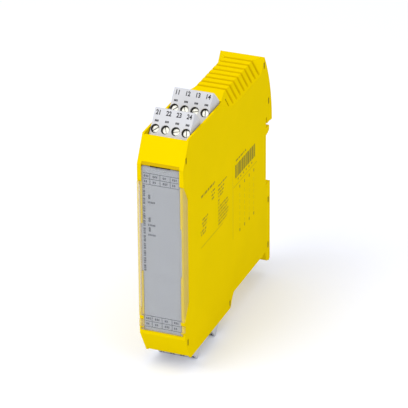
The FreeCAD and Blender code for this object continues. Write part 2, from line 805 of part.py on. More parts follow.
# ---- electronics ---------------------------------------------------------------------
def make_main_board():
    """main circuit board, cut back round both plug pockets"""
    margin = board_margin
    wall = shell_wall
    floor_top = top - plug_pocket_depth - pocket_floor - margin
    floor_bottom = bottom + plug_pocket_depth + pocket_floor + margin
    foot_wall = -foot_front - foot_gap - wall - margin
    board = prism((board_left, board_face),
                 (board_front, floor_bottom),
                 (board_front, floor_top),
                 (pocket_rear + wall + margin, floor_top),
                 (pocket_rear + wall + margin, bevel_line - margin),
                 (-rib_zone_rear - wall - 3.0, bevel_line - margin),
                 (-rib_zone_rear - wall - 3.0, step_height),
                 (foot_wall - 2.0, step_height),
                 (foot_wall - 2.0, rear_edge + wall + margin),
                 (-heel_setback + wall + margin, rear_edge + wall + margin),
                 (-heel_setback + wall + margin, floor_bottom))
    holes = pin_tail_holes()
    return board.cut(holes + [flipped(hole) for hole in holes])


def pin_tail_holes():
    """holes through the main board for the tails of the top headers' pins"""
    half = pin_width / 2 + pin_hole_gap
    holes = []
    for setback in plug_setbacks.values():
        pin_y = -setback - pin_offset
        for k in range(pole_count):
            middle = first_pin_bend - k * pin_bend_step + pin_width / 2
            holes.append(block((board_left - 1, board_face + 1), (pin_y - half, pin_y + half),
                               (middle - half, middle + half)))
    return holes


def on_board(size, y, z):
    """a component standing on the main board's face, from its front lower corner"""
    return block((board_face, board_face + size[0]), (y, y + size[1]), (z, z + size[2]))


def make_relay(height):
    body = on_board(relay_size, -relay_setback, height)
    return body.makeChamfer(relay_edge, [e for e in body.Edges
                                         if e.CenterOfMass.x > board_face + relay_edge])


def make_transformer():
    y, z = -transformer_place[0], transformer_place[1]
    bobbin = on_board((transformer_size[0] * 0.8, transformer_size[1], transformer_size[2]), y, z)
    core = block((board_face + transformer_core_reach, board_face + transformer_size[0]),
                 (y - transformer_core_reach, y + transformer_size[1] + transformer_core_reach),
                 (z + transformer_core_inset, z + transformer_size[2] - transformer_core_inset))
    return fused([bobbin, core])


def make_capacitor():
    y, z = -capacitor_place[0], capacitor_place[1]
    can = rod((board_face, y, z), (1, 0, 0), capacitor_radius, capacitor_height)
    far_end = board_face + capacitor_height
    return can.makeChamfer(capacitor_edge, [e for e in can.Edges
                                            if e.CenterOfMass.x > far_end - capacitor_edge])


def logic_board_faces():
    right = inner_half - 1.2
    return right - logic_board_size[0], right


def make_logic_board():
    y = -logic_board_setback
    return block(logic_board_faces(), (y, y + logic_board_size[1]),
                 (mid - logic_board_size[2] / 2, mid + logic_board_size[2] / 2))


def make_board_connector():
    """pin strip that joins the two boards"""
    y = -logic_board_setback + logic_board_size[1] - connector_size[1] - 1
    return block((board_face, logic_board_faces()[0]), (y, y + connector_size[1]),
                 (mid - connector_size[2] / 2, mid + connector_size[2] / 2))


def make_logic_chips():
    face = logic_board_faces()[0]
    y = -chip_setback
    return [block((face - chip_size[0], face), (y, y + chip_size[1]),
                  (mid + z, mid + z + chip_size[2])) for z in chip_heights]


def make_status_leds():
    depth, height = led_size
    return [block((board_face, guide_x + guide_width / 2), (led_front, led_front + depth),
                  (mid + h - height / 2, mid + h + height / 2)) for h in guide_heights]


def main():
    os.makedirs("parts", exist_ok=True)
    housing, side_cover = make_housing_and_cover()
    write("housing", housing)
    write("side_cover", side_cover)
    write("label_plate", make_label())
    write("light_guides", make_light_guides())
    write("front_cover", make_front_cover())
    for level, setback in plug_setbacks.items():
        pieces = {"plug": [make_plug_body(setback)],
                  "terminal_screws": make_screws(setback),
                  "clamps": make_clamps(setback),
                  "header": [make_header(setback)],
                  "header_pins": make_header_pins(setback)}
        for name, shapes in pieces.items():
            write(f"{name}_top_{level}", *shapes)
            write(f"{name}_bottom_{level}", *[flipped(s) for s in shapes])
    write("rail_foot", make_foot())
    write("foot_spring", make_foot_spring())
    write("main_board", make_main_board())
    for number, height in enumerate(relay_heights, start=1):
        write(f"switching_relay_{number}", make_relay(height))
    write("power_transformer", make_transformer())
    write("capacitor", make_capacitor())
    write("logic_board", make_logic_board())
    write("board_connector", make_board_connector())
    write("logic_chips", *make_logic_chips())
    write("status_leds", *make_status_leds())


main()
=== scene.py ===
"""Looks of the safety relay module: materials, print, terminal numbers, studio and camera.

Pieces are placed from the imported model's own boxes and points; the layouts of the print, the
studio and the camera are listed first.  Lengths are in metres where no comment says mm.  In the
model's frame the origin is on the rail seat, -Y is the front and +Z is up.
"""
import math
import bmesh
import bpy
from mathutils import Matrix, Vector


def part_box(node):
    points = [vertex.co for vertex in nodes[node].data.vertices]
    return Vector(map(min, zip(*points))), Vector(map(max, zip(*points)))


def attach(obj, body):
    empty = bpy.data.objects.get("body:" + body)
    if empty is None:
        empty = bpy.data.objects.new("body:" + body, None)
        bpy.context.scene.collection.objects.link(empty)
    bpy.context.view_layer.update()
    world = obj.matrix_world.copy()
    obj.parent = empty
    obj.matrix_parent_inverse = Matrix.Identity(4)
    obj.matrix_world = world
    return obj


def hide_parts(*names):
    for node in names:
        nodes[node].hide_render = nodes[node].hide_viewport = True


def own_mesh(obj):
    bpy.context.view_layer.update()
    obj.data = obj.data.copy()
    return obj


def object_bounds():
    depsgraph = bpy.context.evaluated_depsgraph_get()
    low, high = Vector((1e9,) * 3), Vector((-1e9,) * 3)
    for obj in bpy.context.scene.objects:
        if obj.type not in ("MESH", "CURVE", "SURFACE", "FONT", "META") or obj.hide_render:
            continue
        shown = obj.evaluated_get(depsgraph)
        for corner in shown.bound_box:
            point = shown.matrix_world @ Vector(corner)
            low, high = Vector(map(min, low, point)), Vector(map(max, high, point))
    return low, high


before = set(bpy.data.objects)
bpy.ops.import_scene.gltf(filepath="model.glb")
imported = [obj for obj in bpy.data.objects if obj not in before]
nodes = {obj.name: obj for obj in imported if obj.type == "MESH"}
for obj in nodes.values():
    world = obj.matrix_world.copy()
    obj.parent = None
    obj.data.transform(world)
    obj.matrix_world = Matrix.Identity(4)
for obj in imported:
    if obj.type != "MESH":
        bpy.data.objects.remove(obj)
cad_low, cad_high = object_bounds()

MM = 0.001

# ---- places taken from the frame ------------------------------------------------------
housing_low, housing_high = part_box("housing")
label_low, label_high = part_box("label_plate")
cover_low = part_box("front_cover")[0]
MID_Z = (housing_low.z + housing_high.z) / 2
HALF_WIDTH = housing_high.x
LABEL_FRONT = label_low.y
PLUG_PLACES = ("top_front", "top_rear", "bottom_front", "bottom_rear")
PLUG_TENS = (2, 1, 3, 4)        # first figure of each plug's numbers
RIGHT, BACK, UP = Vector((1, 0, 0)), Vector((0, 1, 0)), Vector((0, 0, 1))
SAME = 0.001 * MM               # points closer than this are one
CLOSE = 0.01 * MM               # slack when points are looked for by their place

# ---- print ------------------------------------------------------------------------------
PRINT_RISE = 0.03 * MM          # ink stands this proud of its surface
PRINT_SUNK = 0.02 * MM          # and reaches this far into it
RULE = 0.28                     # drawn lines on the label, mm
NUMBER_SIZE = 3.1 * MM          # height setting of the plugs' numbers
NUMBER_NARROW = 0.82            # and their width as a share of the letter form's own
NUMBER_WEIGHT = 0.03            # thickening of the strokes, as a share of the size
NUMBER_FROM_RIDGE = 1.9 * MM
MARK_FROM_WELL = 1.55 * MM      # the small marks, from the edge of a screw well
MARK_SHIFTS = (-0.62, 0.0, 0.62)         # from the screw's axis, mm
MARK_SIZE = (0.5 * MM, 0.95 * MM)        # width and height

# Print on the right side, mm.  Fields are (low y, high y, low z, high z) and lines of words are
# (start y, end y, level z, height), with z from the housing's middle height.
WORD_LENGTHS = (1.9, 3.1, 1.2, 2.4, 0.9, 2.8)
WORD_SPACE = 0.7
BAR_START, BAR_END = -41.0, -15.5
BAR_LOW, BAR_HIGH = 9.8, 16.6
BAR_WIDTHS = (1.3, 0.6, 0.9, 1.7, 0.6, 1.2)
BAR_SPACE = 0.75
BAR_HEADING = (-40.4, -27.0, 18.7, 0.9)
DASH_STARTS = (-38.0, -34.6, -31.0, -27.4, -23.8, -20.0)
DASH_LENGTH = 1.2               # the dashes below the field of bars
DASH_LOW, DASH_HIGH = 7.7, 8.6
SIDE_LINES = (
    (-84.4, -67.2, 20.3, 1.2),
    (-71.6, -66.8, 16.9, 0.8), (-71.6, -67.4, 15.0, 0.8), (-71.4, -67.8, 13.2, 0.8),
    (-83.0, -76.2, 7.9, 0.8), (-83.6, -77.0, 6.2, 0.8), (-82.8, -77.6, 4.5, 0.8),
    (-85.4, -78.4, 2.4, 0.8), (-84.8, -79.0, 0.8, 0.8),
    (-63.2, -52.2, 16.1, 0.8),
    (-63.4, -55.6, 14.0, 0.8), (-63.4, -56.4, 12.3, 0.8), (-63.0, -57.0, 10.6, 0.8),
    (-63.4, -61.2, 8.6, 0.8), (-63.4, -61.4, 6.9, 0.8),
)
PARAGRAPH_START, PARAGRAPH_END = -63.2, -51.0
PARAGRAPH_TOP, PARAGRAPH_STEP, PARAGRAPH_LINES = 4.9, 1.75, 6
PARAGRAPH_RAG = 1.4             # how far the line ends wander, as a sine
PARAGRAPH_WAVE = 2.3            # its step from line to line, radians
SMALL_HEIGHT = 0.8
SKETCH_COLUMNS = (-35.3, -29.0, -22.9, -16.7)
SKETCH_ENDS = (3.2, -19.9)      # marks at both ends of a column
SKETCH_MARK = (0.5, 0.8)        # their half width and half height
SKETCH_DASHES = (-18.6, -15.4, -12.2, -9.0, -5.8, -2.6)
SKETCH_DASH_HEIGHT = 2.1
SKETCH_DASH_HALF = 0.14
SIDE_RULES = ((-44.5, -44.2, -20.9, 11.2), (-84.9, -57.3, -5.8, -5.5), (-43.5, -12.4, 5.8, 6.05))

# Print on the label, mm: x from the middle plane, z from the housing's middle height.
TABLE_INSET = 1.1               # the tables end this far inside the label's sides
TABLES = ((39.1, -2.8), (-34.3, -2.9))   # first rule of a table and the step to the next
TABLE_ROWS = 2
TABLE_COLUMNS = (-5.4, -0.45, 4.5)
CELL_MIDDLES = (-7.2, -2.9, 2.0, 6.6)
CELL_MARKS = ((-1.1, -0.5), (-0.25, 0.35))
CELL_THIRD_MARK = (0.6, 1.1)
CELL_HALF_HEIGHT = 0.55
GUIDE_LEVELS = (27.2, 15.6, 10.6)        # the light guides that carry a word below them
GUIDE_WORD = (-6.6, 0.75, 0.55, 5)       # start, step, width and number of its marks
GUIDE_WORD_LOW, GUIDE_WORD_HIGH = -3.2, -2.2
EDGE_PRINT = (-8.9, -7.85)               # the upright line of print by the left edge
EDGE_PRINT_START, EDGE_PRINT_END = -11.0, 33.0
EDGE_PRINT_TALL = (0.9, 0.6, 1.2, 0.5, 1.0)
EDGE_PRINT_SPACES = (0.25, 0.25, 0.8)

# ---- terminals ----------------------------------------------------------------------------
POLES = 4
POLE_PITCH = 5.0 * MM
WELL_RADIUS = 2.13 * MM         # just outside the screw wells
WELL_SHADE = (0.08 * MM, 0.7 * MM)   # painted shadow darkens the wells between these depths
WELL_END = 6.0 * MM             # and the shading ends at this one
WELL_DENSE = 0.92               # share of the painted shadow's colour at full depth
SCREW_RIM = (1.3 * MM, 1.62 * MM)    # painted shade at the heads' rounded edges, from their axes
RIM_DENSE = 0.8                 # and share of the same painted shadow at the heads' rims

# ---- front recess ---------------------------------------------------------------------------
COVER_PLATE = 1.2 * MM          # thickness of the clear cover's front
COVER_GAP = 0.25 * MM           # from the cover's back to the frame strips
FRAME_STRIP = (9.3 * MM, 10.1 * MM)      # the strips' sides, from the middle plane
FRAME_LEVELS = ((-34.0, -11.4), (13.4, 35.0))   # their ends, mm from the housing's middle height
FRAME_EDGE = 0.12 * MM
FLANGE_START = 0.15 * MM        # the cover's flanges take their painted light from here outwards,
FLANGE_FADE = 0.3 * MM          # beyond the label's side, over this width
FLANGE_DENSE = 0.38             # added to the cover's density

# ---- painted shade in openings and slots, mm: low and high along the face, then low and high z ---
WINDOW_LARGEST = 5 * MM         # clip windows: openings with a shorter diagonal than this
WINDOW_SUNK = 0.12 * MM         # depth of the plates of painted shade below the side plane
WINDOW_MARGINS = (0.1, 0.1, 0.5, 0.6)    # left free of a window's four sides
LATCH_SUNK = 1.9 * MM           # the same for the latch slot, in the facet before the ribs
LATCH_FLOOR = (-49.3, -48.3, 50.8, 54.0)
LIP_SLOPE = Vector((0, 7.1, 12.5)).normalized()    # up the chamfer above the cover
LIP_START = 43.65 * MM          # the lip's lower edge above the housing's middle height
LIP_WIDTH = 1.5 * MM
LIP_INSET = 0.75 * MM           # the lip ends this far inside the label's sides
NAIL_SLOT_SUNK = 0.25 * MM
NAIL_SLOT_FLOOR = (-4.9, 4.9, 42.95, 43.6)

# ---- edges, and painted shade in grooves and creases --------------------------------------------
HOUSING_EDGE = 0.18 * MM        # radii of softened edges
COVER_EDGE = 0.12 * MM
PLUG_EDGE = 0.12 * MM
FOOT_EDGE = 0.15 * MM
EDGE_SEGMENTS = 2
EDGE_ANGLE = 25                 # degrees; flatter corners stay as they are
GROOVE_DEPTH = 0.8 * MM
GROOVE_SLOPE = 0.7 * MM         # width of each of a groove's two slopes
GROOVE_SHADING = 0.9            # share of the painted groove shade on its floor
GROOVE_STOP = 0.35 * MM         # the grooves end this far inside the side planes
GROOVE_INNER = 2 * MM           # their floors are looked for farther inside than this
BEVEL_SHARE = 0.25              # share of the groove shading that is left on the bevels
BEVEL_FADE = 1 * MM             # and the width over which it drops
CREASE_REACH = 1.6 * MM         # corners within this distance darken a point with painted shade
CREASE_OPEN = (0.45, 0.95)      # share of open sky in a tight corner and on a plain face
CREASE_SAMPLES = 8

# ---- surface texture, noise cells per metre -----------------------------------------------------
MOTTLE = 55.0                   # moulded plastic: cloudiness, sheen and grain
SHEEN = 240.0
GRAIN = 2600.0
HAZE = 90.0                     # clear plastic: haze and ripple
RIPPLE = 400.0
INK_SPECKLE = 1500.0
BRUSHED = (900.0, 5000.0, 5000.0)        # metal: along and across the lines

# ---- camera: the view angles in degrees, and where the module sits in the picture --------------
CAMERA_AZIMUTH = 21.820
CAMERA_ELEVATION = 26.918
CAMERA_ROLL = -0.444
CAMERA_DISTANCE = 1458.7 * MM
CAMERA_ASIDE = 19.495 * MM
CAMERA_ABOVE = 22.365 * MM
CAMERA_SENSOR = 36.0            # mm
CAMERA_LENS = 265.66            # mm
CAMERA_CLIP = 20.0

# ---- lights ---------------------------------------------------------------------------------
FLOOR_SIZE = 4.0
LAMP_AIM = (0, -0.05, 0)
LAMPS = (                       # name, place and width in metres, watts
    ("key", (-0.55, -0.75, 1.25), 0.9, 9.0),
    ("top", (0.1, 0.1, 1.4), 1.2, 3.5),
    ("right_fill", (1.05, -0.5, 0.85), 0.9, 4.2),
    ("front_fill", (-0.25, -1.2, 0.12), 0.5, 1.6),
)
WORLD_LIGHT = 0.57
FLOOR_GLOW = 0.17               # added to the floor as the camera sees it, so that it stays white


# ---- colours (linear) -----------------------------------------------------------------------
def srgb(red, green, blue):
    """linear colour from an 8-bit screen colour"""
    def channel(value):
        value /= 255
        return value / 12.92 if value <= 0.04045 else ((value + 0.055) / 1.055) ** 2.4
    return (channel(red), channel(green), channel(blue), 1.0)


YELLOW = srgb(239, 208, 0)
PLUG_GREY = srgb(208, 209, 214)
LABEL_GREY = srgb(179, 180, 182)
# painted shadow in the screw wells and at the screw heads' rims
WELL_SHADOW_COLOR = srgb(44, 44, 40)
BAR_INK = srgb(114, 106, 26)
TEXT_INK = srgb(162, 140, 6)
RULE_INK = srgb(188, 164, 4)
TABLE_INK = srgb(60, 62, 70)
CELL_INK = srgb(70, 72, 80)
# painted shade for the windows, groove floors, creases, slots and the lip
WINDOW_SHADE = srgb(84, 60, 0)
GROOVE_SHADE = srgb(208, 174, 0)
CREASE_SHADE = srgb(206, 170, 0)
SLOT_SHADOW = srgb(62, 50, 4)
LIP_SHADE = srgb(204, 170, 0)
# painted light carried into the clear cover's flanges from the yellow walls
EDGE_LIGHT = srgb(238, 212, 78)
NUMBER_INK = srgb(52, 52, 56)
BLACK = srgb(38, 38, 40)
CASE_WHITE = srgb(232, 232, 226)
BOARD_GREEN = srgb(24, 98, 52)
SLEEVE_BLUE = srgb(60, 66, 84)
CLAMP_STEEL = srgb(176, 174, 168)
SCREW_STEEL = srgb(186, 185, 176)
SPRING_STEEL = srgb(180, 180, 180)
BRASS = srgb(214, 196, 140)
COVER_GREY = srgb(200, 204, 206)
GUIDE_GREY = srgb(78, 80, 84)
WHITE = (1, 1, 1, 1)
FLOOR_WHITE = (0.84, 0.865, 0.96, 1)     # a little blue, against the housing's yellow light


# ---- materials --------------------------------------------------------------------------
class Shader:
    """a material with short calls for the nodes that this scene uses"""
    def __init__(self, name):
        self.material = bpy.data.materials.new(name)
        self.material.use_nodes = True
        self.tree = self.material.node_tree
        self.surface = self.tree.nodes["Principled BSDF"]
        self.place = self.tree.nodes.new("ShaderNodeTexCoord").outputs["Object"]

    def node(self, kind, inputs=None, **settings):
        made = self.tree.nodes.new(kind)
        for key, value in settings.items():
            setattr(made, key, value)
        for key, value in (inputs or {}).items():
            if isinstance(value, bpy.types.NodeSocket):
                self.tree.links.new(value, made.inputs[key])
            else:
                made.inputs[key].default_value = value
        return made

    def set(self, **values):
        for key, value in values.items():
            socket = self.surface.inputs[key.replace("_", " ")]
            if isinstance(value, bpy.types.NodeSocket):
                self.tree.links.new(value, socket)
            else:
                socket.default_value = value

    def noise(self, scale, detail=2.0, roughness=0.5, vector=None):
        made = self.node("ShaderNodeTexNoise", {"Vector": vector or self.place, "Scale": scale,
                                                "Detail": detail, "Roughness": roughness})
        return made.outputs["Fac"]

    def spread(self, value, low, high, start=0.3, end=0.7):
        """low to high as the value goes from start to end; the defaults suit a noise"""
        made = self.node("ShaderNodeMapRange", {"Value": value, "From Min": start, "From Max": end,
                                                "To Min": low, "To Max": high})
        return made.outputs["Result"]

    def blend(self, factor, first, second):
        made = self.node("ShaderNodeMix", data_type="RGBA")
        for index, value in ((0, factor), (6, first), (7, second)):
            if isinstance(value, bpy.types.NodeSocket):
                self.tree.links.new(value, made.inputs[index])
            else:
                made.inputs[index].default_value = value
        return made.outputs[2]

    def bump(self, height, distance, strength=1.0):
        made = self.node("ShaderNodeBump", {"Height": height, "Distance": distance,
                                            "Strength": strength})
        self.set(Normal=made.outputs["Normal"])


def shaded(color, share):
    return tuple(c * share for c in color[:3]) + (1.0,)


def moulded(name, color, roughness=0.45, grain=0.012, variation=0.04, shine=0.25, shadow=None,
            creases=None, grooves=None):
    """moulded plastic: fine spark-eroded grain, slight flow mottling, uneven sheen

    grain is the bumps' height in mm; shadow is a plug's face, whose screw wells get painted shadow;
    creases and grooves are the colours of painted shade in corners and on groove floors.
    """
    s = Shader(name)
    cloud = s.noise(MOTTLE, detail=3.0)
    base = s.blend(cloud, shaded(color, 1 - variation), shaded(color, 1 + variation))
    # painted shadow in the plug's screw wells
    if shadow:
        base = s.blend(well_shadow_mask(s, *shadow), base, WELL_SHADOW_COLOR)
    # painted shade: darker where nearby surfaces close in around a point
    if creases:
        sky = s.node("ShaderNodeAmbientOcclusion", {"Distance": CREASE_REACH}, samples=CREASE_SAMPLES,
                     only_local=True).outputs["AO"]
        base = s.blend(s.spread(sky, 1.0, 0.0, *CREASE_OPEN), base, creases)
    # painted shade on the groove floors
    if grooves:
        base = s.blend(groove_shade_mask(s, *groove_places()), base, grooves)
    s.set(Base_Color=base, Specular_IOR_Level=shine)
    s.set(Roughness=s.spread(s.noise(SHEEN), roughness - 0.05, roughness + 0.06))
    s.bump(s.noise(GRAIN, detail=3.0, roughness=0.6), grain * MM)
    return s.material


def maths(s, operation, first, second=0.0):
    return s.node("ShaderNodeMath", {0: first, 1: second}, operation=operation).outputs[0]


def measure(s, start, direction):
    """distance from a point along a direction"""
    offset = s.node("ShaderNodeVectorMath", {0: s.place, 1: tuple(start)}, operation="SUBTRACT")
    made = s.node("ShaderNodeVectorMath", {0: offset.outputs["Vector"], 1: tuple(direction)},
                  operation="DOT_PRODUCT")
    return made.outputs["Value"]


def axis_distance(s, middle, rise):
    """distance from the nearest of a plug's screw axes, an even number of them"""
    row = maths(s, "FLOORED_MODULO", measure(s, middle, (1, 0, 0)), POLE_PITCH)
    across = maths(s, "SUBTRACT", row, POLE_PITCH / 2)
    up = measure(s, middle, rise)
    return maths(s, "SQRT", maths(s, "ADD", maths(s, "MULTIPLY", across, across),
                                  maths(s, "MULTIPLY", up, up)))


def well_shadow_mask(s, middle, rise, inward):
    """towards 1 on the walls and floor of a plug's screw wells, where their shadow is painted"""
    inside = maths(s, "LESS_THAN", axis_distance(s, middle, rise), WELL_RADIUS)
    across = maths(s, "ABSOLUTE", measure(s, middle, (1, 0, 0)))
    between = maths(s, "LESS_THAN", across, POLES / 2 * POLE_PITCH)
    depth = measure(s, middle, inward)
    deep = s.spread(depth, 0.0, WELL_DENSE, *WELL_SHADE)
    near = maths(s, "MULTIPLY", between, maths(s, "LESS_THAN", depth, WELL_END))
    return maths(s, "MULTIPLY", maths(s, "MULTIPLY", inside, deep), near)


def groove_places():
    """from the housing's top: the first groove floor's two edges, the step from groove to groove,
    the last floor's rear edge and half the width of the flat between the bevels"""
    slack = 2 * CLOSE
    points = [vertex.co for vertex in nodes["housing"].data.vertices]
    floor = housing_high.z - GROOVE_DEPTH
    edges = sorted(p.y for p in points
                   if abs(floor - p.z) < slack and abs(p.x) < HALF_WIDTH - GROOVE_INNER)
    rows = [edges[0]]
    for y in edges:
        if y - rows[-1] > slack:
            rows.append(y)
    flat = max(abs(p.x) for p in points if p.z > housing_high.z - slack)
    return rows[0], rows[1], rows[2] - rows[0], rows[-1], flat


def groove_shade_mask(s, start, end, pitch, last, flat):
    """towards 1 on the floors of the grooves across the top and the bottom, where their shade is
    painted
    """
    reach = end - start + 2 * GROOVE_SLOPE
    axes = s.node("ShaderNodeSeparateXYZ", {"Vector": s.place}).outputs
    along = maths(s, "SUBTRACT", axes["Y"], start - GROOVE_SLOPE)
    row = maths(s, "FLOORED_MODULO", along, pitch)
    near = maths(s, "MINIMUM", row, maths(s, "SUBTRACT", reach, row))
    deep = s.spread(near, 0.0, GROOVE_SHADING, 0.0, GROOVE_SLOPE / 2)
    zone = maths(s, "MULTIPLY", maths(s, "GREATER_THAN", along, 0.0),
                 maths(s, "LESS_THAN", axes["Y"], last + GROOVE_SLOPE))
    across = maths(s, "ABSOLUTE", axes["X"])
    inner = maths(s, "LESS_THAN", across, HALF_WIDTH - GROOVE_STOP)
    bright = s.spread(across, 1.0, BEVEL_SHARE, flat - BEVEL_FADE, flat)
    return maths(s, "MULTIPLY", maths(s, "MULTIPLY", deep, zone),
                 maths(s, "MULTIPLY", inner, bright))


def flat_ink_or_shade(name, color):
    """flat ink or painted shade, a little uneven in its density"""
    s = Shader(name)
    s.set(Base_Color=s.blend(s.noise(INK_SPECKLE), shaded(color, 0.92), shaded(color, 1.1)))
    s.set(Roughness=0.55, Specular_IOR_Level=0.05)
    return s.material


def metal(name, color, roughness=0.35, scratch=0.01, rim=None):
    """brushed metal with fine lines

    scratch is their height in mm; rim is a plug's face, whose screw heads get painted shade at their
    edges.
    """
    s = Shader(name)
    stretched = s.node("ShaderNodeMapping", {"Vector": s.place, "Scale": BRUSHED})
    lines = s.noise(1.0, detail=4.0, vector=stretched.outputs["Vector"])
    base = s.blend(lines, shaded(color, 0.85), color)
    # painted shade at the rims of the screw heads
    if rim:
        edge = s.spread(axis_distance(s, *rim), 0.0, RIM_DENSE, *SCREW_RIM)
        base = s.blend(edge, base, WELL_SHADOW_COLOR)
    s.set(Base_Color=base, Metallic=1.0)
    s.set(Roughness=s.spread(lines, roughness - 0.08, roughness + 0.12))
    s.bump(lines, scratch * MM)
    return s.material


def clear(name, color, alpha, roughness=0.12, flange_light=None):
    """clear moulded plastic with a thin haze; on the flanges, painted light stands for the light they
    carry from the walls beside them
    """
    s = Shader(name)
    haze = s.noise(HAZE)
    base = s.blend(haze, shaded(color, 0.97), color)
    cover = s.spread(haze, alpha - 0.02, alpha + 0.02)
    # painted light from the walls beside the flanges
    if flange_light:
        start = label_high.x + FLANGE_START
        x = s.node("ShaderNodeSeparateXYZ", {"Vector": s.place}).outputs["X"]
        side = s.spread(maths(s, "ABSOLUTE", x), 0.0, 1.0, start, start + FLANGE_FADE)
        base = s.blend(side, base, flange_light)
        cover = maths(s, "ADD", cover, maths(s, "MULTIPLY", side, FLANGE_DENSE))
    s.set(Base_Color=base, Alpha=cover, Roughness=roughness)
    s.bump(s.noise(RIPPLE), 0.01 * MM, 0.3)
    return s.material


yellow = moulded("housing_yellow", YELLOW, roughness=0.5, shine=0.001, creases=CREASE_SHADE,
                 grooves=GROOVE_SHADE)
label_grey = moulded("label_grey", LABEL_GREY, roughness=0.4, grain=0.004, variation=0.015)
black_plastic = moulded("black_plastic", BLACK, roughness=0.42)
case_white = moulded("case_white", CASE_WHITE, roughness=0.35)
board_green = moulded("board_green", BOARD_GREEN, roughness=0.35)
can_sleeve = moulded("can_sleeve", SLEEVE_BLUE, roughness=0.3)
clamp_steel = metal("clamp_steel", CLAMP_STEEL, roughness=0.42)
brass = metal("pin_brass", BRASS)
spring_steel = metal("spring_steel", SPRING_STEEL, roughness=0.3)
clear_cover = clear("clear_cover", COVER_GREY, 0.16, flange_light=EDGE_LIGHT)
# painted shade: flat dark colour in the clip windows, the slots and on the lip above the cover
window_shade = flat_ink_or_shade("window_shade", WINDOW_SHADE)
slot_shadow = flat_ink_or_shade("slot_shadow", SLOT_SHADOW)
lip_shade = flat_ink_or_shade("lip_shade", LIP_SHADE)
clear_guide = clear("clear_guide", GUIDE_GREY, 0.93)
bar_ink = flat_ink_or_shade("bar_ink", BAR_INK)
text_ink = flat_ink_or_shade("text_ink", TEXT_INK)
rule_ink = flat_ink_or_shade("rule_ink", RULE_INK)
table_ink = flat_ink_or_shade("table_ink", TABLE_INK)
cell_ink = flat_ink_or_shade("cell_ink", CELL_INK)
number_ink = flat_ink_or_shade("number_ink", NUMBER_INK)


# ---- dressing of the CAD nodes ------------------------------------------------------------
def dress(node, material, edge=0.0):
    """material for a CAD node and, where an edge radius is given, softened edges"""
    piece = nodes[node]
    for slot in piece.material_slots:
        slot.material = material
    if edge:
        weld = piece.modifiers.new("weld", "WELD")
        weld.merge_threshold = SAME
        bevel = piece.modifiers.new("soft_edges", "BEVEL")
        bevel.width = edge
        bevel.segments = EDGE_SEGMENTS
        bevel.limit_method = "ANGLE"
        bevel.angle_limit = math.radians(EDGE_ANGLE)
        bevel.harden_normals = True
        bevel.use_clamp_overlap = True


def dress_all():
    for name in ("housing", "side_cover"):
        dress(name, yellow, HOUSING_EDGE)
    dress("front_cover", clear_cover, COVER_EDGE)
    dress("label_plate", label_grey)
    dress("light_guides", clear_guide)
    dress("rail_foot", black_plastic, FOOT_EDGE)
    dress("foot_spring", spring_steel)
    for name in ("main_board", "logic_board"):
        dress(name, board_green)
    for name in ("switching_relay_1", "switching_relay_2", "status_leds"):
        dress(name, case_white)
    for name in ("power_transformer", "board_connector", "logic_chips"):
        dress(name, black_plastic)
    dress("capacitor", can_sleeve)
    for place in PLUG_PLACES:
        face = plug_face(place)
        grey = moulded("plug_grey_" + place, PLUG_GREY, roughness=0.5, variation=0.025,
                       shadow=face[:3])
        dress("plug_" + place, grey, PLUG_EDGE)
        dress("terminal_screws_" + place,
              metal("screw_steel_" + place, SCREW_STEEL, rim=face[:2]))
        dress("clamps_" + place, clamp_steel)
        dress("header_" + place, black_plastic)
        dress("header_pins_" + place, brass)


def compress_spring():
    """a copy of the foot's spring with a mesh of its own, riding on the module's body in place of the
    original, which is hidden
    """
    original = nodes["foot_spring"]
    coils = bpy.data.objects.new("foot_spring_coils", original.data.copy())
    bpy.context.scene.collection.objects.link(coils)
    coils.matrix_world = original.matrix_world
    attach(coils, "module_body")
    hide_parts("foot_spring")
    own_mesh(coils)


# ---- plug faces -----------------------------------------------------------------------------
def plug_face(place):
    """a plug's face with the screws: middle of the screw row, way up, way in, and its two ends"""
    side = 1 if place.startswith("top") else -1
    low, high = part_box("plug_" + place)
    crest = high.z if side > 0 else low.z
    level = housing_high.z if side > 0 else housing_low.z
    points = [vertex.co for vertex in nodes["plug_" + place].data.vertices]
    ridge = min(p.y for p in points if abs(p.z - crest) < CLOSE)
    foot = max((p.z * side for p in points if p.y < low.y + CLOSE)) * side
    rise = Vector((0, ridge - low.y, crest - foot)).normalized()
    inward = Vector((0, rise.z * side, -rise.y * side))
    middle = Vector((0, ridge - rise.y * (crest - level) / rise.z, level))
    return middle, rise, inward, (crest - level) / rise.z


# ---- print ------------------------------------------------------------------------------------
BLOCK_FACES = ((3, 2, 1, 0), (4, 5, 6, 7), (0, 1, 5, 4), (1, 2, 6, 5), (2, 3, 7, 6), (3, 0, 4, 7))


def piece_from(mesh, name, body, material):
    """object from a bmesh, riding on a body with the finish of a material slot"""
    bmesh.ops.recalc_face_normals(mesh, faces=mesh.faces)
    data = bpy.data.meshes.new(name)
    mesh.to_mesh(data)
    mesh.free()
    data.materials.append(material)
    piece = bpy.data.objects.new(name, data)
    bpy.context.scene.collection.objects.link(piece)
    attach(piece, body)
    return piece


def add_plate(mesh, origin, across, up, outward, field, depths=(-PRINT_SUNK, PRINT_RISE)):
    """one closed plate over a (low, high, low, high) field along across and up"""
    a_low, a_high, b_low, b_high = field
    corners = [mesh.verts.new(origin + across * a + up * b + outward * depth)
               for depth in depths
               for a, b in ((a_low, b_low), (a_high, b_low), (a_high, b_high), (a_low, b_high))]
    for ring in BLOCK_FACES:
        mesh.faces.new([corners[k] for k in ring])


def ink_or_shade_plates(name, material, origin, across, fields):
    """upright plates of ink or of painted shade on the module, one for each (low, high, low, high)
    field in mm
    """
    mesh = bmesh.new()
    for field in fields:
        add_plate(mesh, origin, across, UP, across.cross(UP), [edge * MM for edge in field])
    piece_from(mesh, name, "module_body", material)


def words(start, end, level, height):
    """fields of one line of small print: plain bars of word length"""
    fields = []
    here = start
    k = round(abs(start) + abs(level))
    while here < end:
        stop = min(here + WORD_LENGTHS[k % len(WORD_LENGTHS)], end)
        fields.append((here, stop, level - height / 2, level + height / 2))
        here = stop + WORD_SPACE
        k += 1
    return fields


